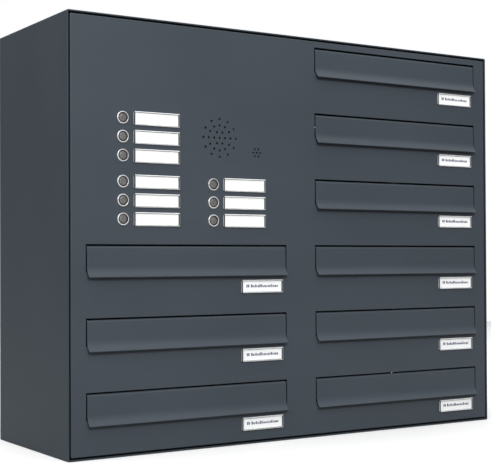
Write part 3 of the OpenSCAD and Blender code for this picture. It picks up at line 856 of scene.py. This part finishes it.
class MAILBOX_OT_bells(bpy.types.Operator):
    """Bell rings with their threaded bodies, and the push buttons in them"""
    bl_idname = "mailbox.bells"
    bl_label = "Bells"

    def execute(self, context):
        s = sizes()
        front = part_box("front_plate")[0].y
        low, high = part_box("bell_bezels")
        face, back = low.y, high.y
        r = s.bezel_r
        centres = bell_centres()
        body_r = r - BELL_FLANGE
        ring = turned("bell_ring_1", centres[0], [
            (body_r, front), (r - 0.15 * MM, front), (r, front - 0.2 * MM), (r, front - 1.1 * MM),
            (r - 0.12 * MM, front - 1.5 * MM), (r - 0.45 * MM, face + 0.1 * MM), (r - 0.8 * MM, face),
            (8.2 * MM, face), (8.0 * MM, face + 0.08 * MM), (7.9 * MM, face + 0.3 * MM),
            (7.8 * MM, front - 0.25 * MM), (CAP_BORE_R + 0.05 * MM, front - 0.2 * MM), (CAP_BORE_R, front),
            (CAP_BORE_R, back), (body_r, back), (body_r, front)])
        smooth(ring, 30)
        top, end = (corner.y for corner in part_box("bell_button_1"))
        cap = turned("bell_cap_1", centres[0], [
            (CAP_OPEN_R, end), (CAP_R, end), (CAP_R, top + 0.9 * MM), (CAP_R - 0.12 * MM, top + 0.55 * MM),
            (CAP_R - 0.4 * MM, top + 0.25 * MM), (CAP_R - 0.9 * MM, top + 0.08 * MM), (CAP_R - 1.7 * MM, top),
            (0, top)])

        def round_open_end(v):
            return v.y > end - 1e-6 and math.hypot(v.x - centres[0].x, v.z - centres[0].z) < CAP_OPEN_R + HAIR

        edit_with(cap, "EDGE", lambda e: all(round_open_end(v) for v in edge_ends(cap, e)))
        bpy.ops.mesh.edge_face_add()
        leave_edit()
        face_out(cap)
        smooth(cap, 30)
        rings = copies_of(ring, "bell_ring", centres)
        caps = copies_of(cap, "bell_cap", centres)
        for n, (ring, cap, spot) in enumerate(zip(rings, caps, centres), 1):
            hand_over(ring, "cabinet", "bright_steel", "Bright steel", "bell_bezels")
            self.paint_recess_shade(ring, spot, front)
            hand_over(cap, f"bell_button_{n}", "cap_steel", "Blasted steel", f"bell_button_{n}")
        return {"FINISHED"}

    def paint_recess_shade(self, ring, spot, front):
        """The recess between ring and cap is painted black as painted shade."""
        ring.data.materials.append(FINISHES["Black plastic and painted shade"])
        for f in ring.data.polygons:
            if (math.hypot(f.center.x - spot.x, f.center.z - spot.z) < BELL_RECESS_SHADE_R
                    and f.center.y > front - BELL_RECESS_SHADE_DEPTH):
                f.material_index = 1


class MAILBOX_OT_doors(bpy.types.Operator):
    """Rear doors with folded edges, hinge knuckles and lock bodies, and the lock plugs with their cams"""
    bl_idname = "mailbox.doors"
    bl_label = "Rear doors and locks"

    def execute(self, context):
        pairs = [(f"door_{i}", f"lock_cam_{i}") for i in range(1, UNITS + 1)] + [("service_door", "service_cam")]
        for door, cam in pairs:
            panel = refined(door, SHEET_EDGE)
            hand_over(panel, door, "case_paint", "Plain anthracite", door)
            low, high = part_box(cam)
            lock = [Vector(((low.x + high.x) / 2, 0, high.z - LOCK_PLUG_R))]
            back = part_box(door)[1].y
            repaint_round(panel, "Satin steel", lock, LOCK_FACE_R, back - LOCK_OUTSIDE, back + LOCK_REACH)
            repaint_round(panel, "Satin steel", lock, LOCK_FACE_R, back - LOCK_REACH, back - LOCK_INSIDE)
            plug = refined(cam, CAM_EDGE)
            hand_over(plug, cam, "bright_steel", "Satin steel", cam)
        return {"FINISHED"}


# Node, material slot, finish, and the softening of its edges in millimetres
INNER_FINISHES = (
    ("centre_wall", "zinc_sheet", "Zinc sheet", 0.2),
    ("left_shelves", "zinc_sheet", "Zinc sheet", 0.2),
    ("right_shelves", "zinc_sheet", "Zinc sheet", 0.2),
    ("rear_post", "case_paint", "Plain anthracite", 0.4),
    # Front frame and slot frames take the darkened coat: painted shade seen through the gaps
    ("front_frame", "case_paint", "Anthracite in painted shade", 0.3),
    ("slot_frames", "case_paint", "Anthracite in painted shade", 0.2),
    ("front_gasket", "black_rubber", "Black rubber", 0.2),
    ("hinge_ears", "case_paint", "Plain anthracite", 0.15),
    ("cable_grommet", "black_rubber", "Black rubber", 0.5),
    ("intercom_module", "grey_plastic", "Grey plastic", 0.6),
)
# Nodes whose own mesh is shown, and their finish
BARE_FINISHES = (
    # The flap pins' near-black steel is painted shade in the side gaps
    ("plate_nuts", "Satin steel"), ("flap_pins", "Steel darkened as painted shade"), ("bell_nuts", "Satin steel"),
    ("bell_switches", "Black plastic and painted shade"), ("speaker", "Black plastic and painted shade"), ("microphone", "Black plastic and painted shade"),
    ("hinge_rods", "Satin steel"),
)


class MAILBOX_OT_inner_parts(bpy.types.Operator):
    """Shelves, walls, frame and hardware inside the casing"""
    bl_idname = "mailbox.inner_parts"
    bl_label = "Inner parts"

    def execute(self, context):
        for node, slot, finish, width in INNER_FINISHES:
            hand_over(refined(node, width * MM), "cabinet", slot, finish, node)
        for node, finish in BARE_FINISHES:
            obj = NODES[node]
            obj.data.materials.clear()
            obj.data.materials.append(FINISHES[finish])
        return {"FINISHED"}


# ---------------------------------------------------------------- stage

# The camera's turn is yaw, pitch and roll in radians; its focal length and centre are in the units of IMAGE
CAMERA_PLACE = (-1.1381, -1.7398, 0.2929)
CAMERA_TURN = (0.5703, 0.0117, -0.0043)
CAMERA_FOCAL = 1189.6
CAMERA_CENTRE = (245.5, 247.13)
IMAGE = (491, 472)
SENSOR = 36
FLOOR_R, FLOOR_DROP = 3.8, 0.2 * MM
FLOOR_LIGHTER, FLOOR_BOUNCE = (0.77, 0.77, 0.77, 1), (0.12, 0.12, 0.12, 1)
WORLD_LIGHT = 0.3
# Name, place, target, size in metres and power in watts
LIGHTS = (
    ("Overhead", (0, -0.2, 3.6), (0, -0.2, 0), (8.0, 7.0), 280),
    ("Key", (-1.1, -3.1, 2.1), (0, 0, 0.3), (1.0, 1.0), 112),
    ("Side", (-3.4, -1.0, 2.0), (0, 0, 0.4), (1.6, 1.6), 42),
    ("Back", (0.5, 3.4, 2.2), (0, 0, 0.3), (2.4, 1.6), 30),
)


def soft_light(name, place, target, size, power):
    data = bpy.data.lights.new(name, "AREA")
    data.shape, data.size, data.size_y = "RECTANGLE", size[0], size[1]
    data.energy = power
    light = bpy.data.objects.new(name, data)
    bpy.context.scene.collection.objects.link(light)
    light.location = place
    light.rotation_mode = "QUATERNION"
    light.rotation_quaternion = (Vector(target) - Vector(place)).to_track_quat("-Z", "Y")


def floor_material():
    """Pale, slightly cloudy paint that throws little light back up on the object."""
    material = bpy.data.materials.new("Studio floor")
    material.use_nodes = True
    tree = material.node_tree
    shader = tree.nodes["Principled BSDF"]
    shader.inputs["Specular IOR Level"].default_value = 0.1
    shader.inputs["Roughness"].default_value = 0.75
    noise = tree.nodes.new("ShaderNodeTexNoise")
    noise.inputs["Scale"].default_value = 3.0
    tint = tree.nodes.new("ShaderNodeMix")
    tint.data_type = "RGBA"
    tint.inputs["A"].default_value = (*colours().floor, 1)
    tint.inputs["B"].default_value = FLOOR_LIGHTER
    tree.links.new(noise.outputs["Fac"], tint.inputs["Factor"])
    bounce = tree.nodes.new("ShaderNodeMix")
    bounce.data_type = "RGBA"
    bounce.inputs["B"].default_value = FLOOR_BOUNCE
    tree.links.new(tree.nodes.new("ShaderNodeLightPath").outputs["Is Diffuse Ray"], bounce.inputs["Factor"])
    tree.links.new(tint.outputs["Result"], bounce.inputs["A"])
    tree.links.new(bounce.outputs["Result"], shader.inputs["Base Color"])
    return material


def studio_world():
    """White to the camera, and a dim even light on everything else."""
    world = bpy.data.worlds.new("Studio")
    world.use_nodes = True
    tree = world.node_tree
    backdrop = tree.nodes["Background"]
    backdrop.inputs["Color"].default_value = (1, 1, 1, 1)
    path = tree.nodes.new("ShaderNodeLightPath")
    strength = tree.nodes.new("ShaderNodeMapRange")
    strength.inputs["To Min"].default_value = WORLD_LIGHT
    tree.links.new(path.outputs["Is Camera Ray"], strength.inputs["Value"])
    tree.links.new(strength.outputs["Result"], backdrop.inputs["Strength"])
    return world


def studio_camera():
    data = bpy.data.cameras.new("Camera")
    camera = bpy.data.objects.new("Camera", data)
    bpy.context.scene.collection.objects.link(camera)
    yaw, pitch, roll = CAMERA_TURN
    forward = Vector((math.sin(yaw) * math.cos(pitch), math.cos(yaw) * math.cos(pitch), math.sin(pitch)))
    right = forward.cross(Vector((0, 0, 1))).normalized()
    up = right.cross(forward)
    right, up = math.cos(roll) * right + math.sin(roll) * up, math.cos(roll) * up - math.sin(roll) * right
    turn = Matrix((right, up, -forward)).transposed()
    camera.matrix_world = Matrix.Translation(CAMERA_PLACE) @ turn.to_4x4()
    data.sensor_width = SENSOR
    data.lens = CAMERA_FOCAL * SENSOR / IMAGE[0]
    data.shift_x = (IMAGE[0] / 2 - CAMERA_CENTRE[0]) / IMAGE[0]
    data.shift_y = (CAMERA_CENTRE[1] - IMAGE[1] / 2) / IMAGE[0]
    data.clip_end = 100
    return camera


class MAILBOX_OT_studio(bpy.types.Operator):
    """Pale floor, soft lights and the camera"""
    bl_idname = "mailbox.studio"
    bl_label = "Studio"

    def execute(self, context):
        scene = context.scene
        scene.view_settings.view_transform = "Standard"
        deselect_all()
        bpy.ops.mesh.primitive_circle_add(vertices=96, radius=FLOOR_R, fill_type="NGON",
                                          location=(0, 0, -FLOOR_DROP))
        floor = named("studio_floor")
        floor.data.materials.append(floor_material())
        scene.world = studio_world()
        for light in LIGHTS:
            soft_light(*light)
        scene.camera = studio_camera()
        return {"FINISHED"}


# ---------------------------------------------------------------- add-on


class MAILBOX_PT_panel(bpy.types.Panel):
    """Lists the pieces of the mailbox unit"""
    bl_idname = "MAILBOX_PT_panel"
    bl_label = "Cluster mailbox unit"
    bl_space_type = "VIEW_3D"
    bl_region_type = "UI"
    bl_category = "Mailboxes"

    def draw(self, context):
        for operator in OPERATORS:
            self.layout.operator(operator.bl_idname)
        for group in (context.scene.mailbox_sizes, context.scene.mailbox_colours):
            for key in group.__annotations__:
                self.layout.prop(group, key)


OPERATORS = (MAILBOX_OT_finishes, MAILBOX_OT_studio, MAILBOX_OT_casing, MAILBOX_OT_front_plate, MAILBOX_OT_flaps,
             MAILBOX_OT_name_covers, MAILBOX_OT_name_cards, MAILBOX_OT_bells, MAILBOX_OT_doors,
             MAILBOX_OT_inner_parts)
CLASSES = (MailboxSizes, MailboxColours, *OPERATORS, MAILBOX_PT_panel)


def register():
    for cls in CLASSES:
        bpy.utils.register_class(cls)
    bpy.types.Scene.mailbox_sizes = PointerProperty(type=MailboxSizes)
    bpy.types.Scene.mailbox_colours = PointerProperty(type=MailboxColours)


def unregister():
    del bpy.types.Scene.mailbox_colours
    del bpy.types.Scene.mailbox_sizes
    for cls in reversed(CLASSES):
        bpy.utils.unregister_class(cls)


def main():
    register()
    bpy.ops.mailbox.finishes()
    bpy.ops.mailbox.studio()
    bpy.ops.mailbox.casing()
    bpy.ops.mailbox.front_plate()
    bpy.ops.mailbox.flaps()
    bpy.ops.mailbox.name_covers()
    bpy.ops.mailbox.name_cards()
    bpy.ops.mailbox.bells()
    bpy.ops.mailbox.doors()
    bpy.ops.mailbox.inner_parts()


if __name__ == "__main__":
    main()
